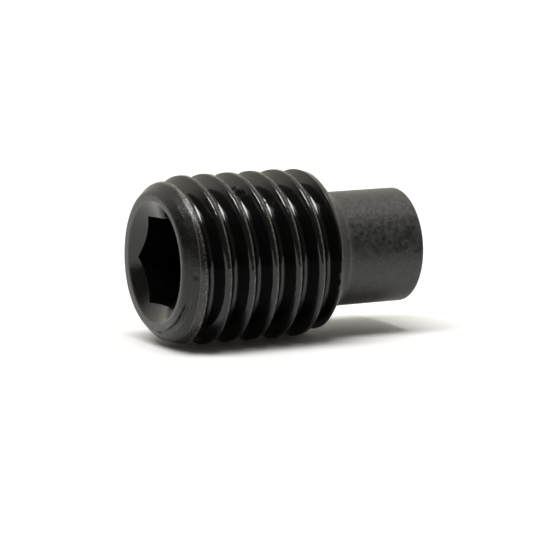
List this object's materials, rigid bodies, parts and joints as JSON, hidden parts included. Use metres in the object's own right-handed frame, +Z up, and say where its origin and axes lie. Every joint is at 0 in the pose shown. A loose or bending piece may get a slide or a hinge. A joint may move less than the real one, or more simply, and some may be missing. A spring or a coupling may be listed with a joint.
{
  "type": "grub set screw",
  "caption": "Hexagon socket set screw with a long dog point, right-hand thread, black oxide steel, lying on its thread crests",
  "frame": {"origin": "on the ground under the middle of the screw's length", "axes": "X runs along the screw from the socket end to the dog point, Z is up, and the screw lies on its thread crests"},
  "size_m": [0.016, 0.0098, 0.0099],
  "materials": {
    "black_oxide_steel": "black oxide, oiled, satin on the ends and glossy on the thread flanks"
  },
  "bodies": {
    "root": {"set_screw": "black_oxide_steel"}
  },
  "joints": []
}
